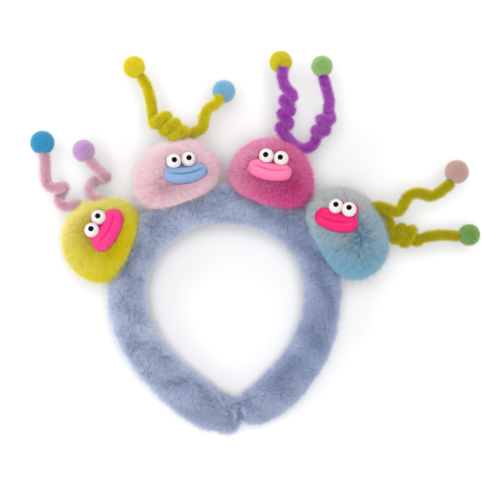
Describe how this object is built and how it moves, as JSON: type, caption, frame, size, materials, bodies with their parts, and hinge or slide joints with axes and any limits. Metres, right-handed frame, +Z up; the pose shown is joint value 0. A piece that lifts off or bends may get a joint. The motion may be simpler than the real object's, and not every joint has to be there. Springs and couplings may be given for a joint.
{
  "type": "pompom headband",
  "caption": "Padded plush head loop with fur pompoms along its crown, each with a moulded face of eyes and lips and a bent chenille stem ending in small felt balls.",
  "frame": {"origin": "middle of the head loop, on the surface the part lies on", "axes": "+X to the right as the faces are seen, +Y from the loop's closed ends to its crown, +Z up, the way the faces look"},
  "size_m": [0.2673, 0.2306, 0.0554],
  "materials": {
    "band_plush": "short plush pile",
    "yellow_plush": "deep plush pile",
    "pale_pink_plush": "deep plush pile",
    "hot_pink_plush": "deep plush pile",
    "sky_blue_plush": "deep plush pile",
    "rose_lips": "moulded, satin",
    "blue_lips": "moulded, satin",
    "pale_pink_lips": "moulded, satin",
    "hot_pink_lips": "moulded, satin",
    "eye_white": "moulded, satin",
    "pupil_black": "printed, glossy",
    "pink_chenille": "chenille on a wire",
    "yellow_chenille": "chenille on a wire",
    "purple_chenille": "chenille on a wire",
    "olive_chenille": "chenille on a wire",
    "blue_felt": "fuzzy felt",
    "lilac_felt": "fuzzy felt",
    "yellow_felt": "fuzzy felt",
    "sky_blue_felt": "fuzzy felt",
    "mustard_felt": "fuzzy felt",
    "pale_green_felt": "fuzzy felt",
    "beige_pink_felt": "fuzzy felt",
    "green_felt": "fuzzy felt"
  },
  "bodies": {
    "root": {"band": "band_plush", "pompom_1": "yellow_plush", "lips_1": "rose_lips", "eye_1_left": "eye_white", "eye_1_right": "eye_white", "pupil_1_left": "pupil_black", "pupil_1_right": "pupil_black", "feeler_1": "pink_chenille", "tip_1_left": "blue_felt", "tip_1_right": "lilac_felt", "pompom_2": "pale_pink_plush", "lips_2": "blue_lips", "eye_2_left": "eye_white", "eye_2_right": "eye_white", "pupil_2_left": "pupil_black", "pupil_2_right": "pupil_black", "feeler_2": "yellow_chenille", "tip_2_left": "yellow_felt", "tip_2_right": "sky_blue_felt", "pompom_3": "hot_pink_plush", "lips_3": "pale_pink_lips", "eye_3_left": "eye_white", "eye_3_right": "eye_white", "pupil_3_left": "pupil_black", "pupil_3_right": "pupil_black", "feeler_3": "purple_chenille", "tip_3_left": "mustard_felt", "tip_3_right": "pale_green_felt", "pompom_4": "sky_blue_plush", "lips_4": "hot_pink_lips", "eye_4_left": "eye_white", "eye_4_right": "eye_white", "pupil_4_left": "pupil_black", "pupil_4_right": "pupil_black", "feeler_4": "olive_chenille", "tip_4_left": "beige_pink_felt", "tip_4_right": "green_felt"}
  },
  "joints": []
}
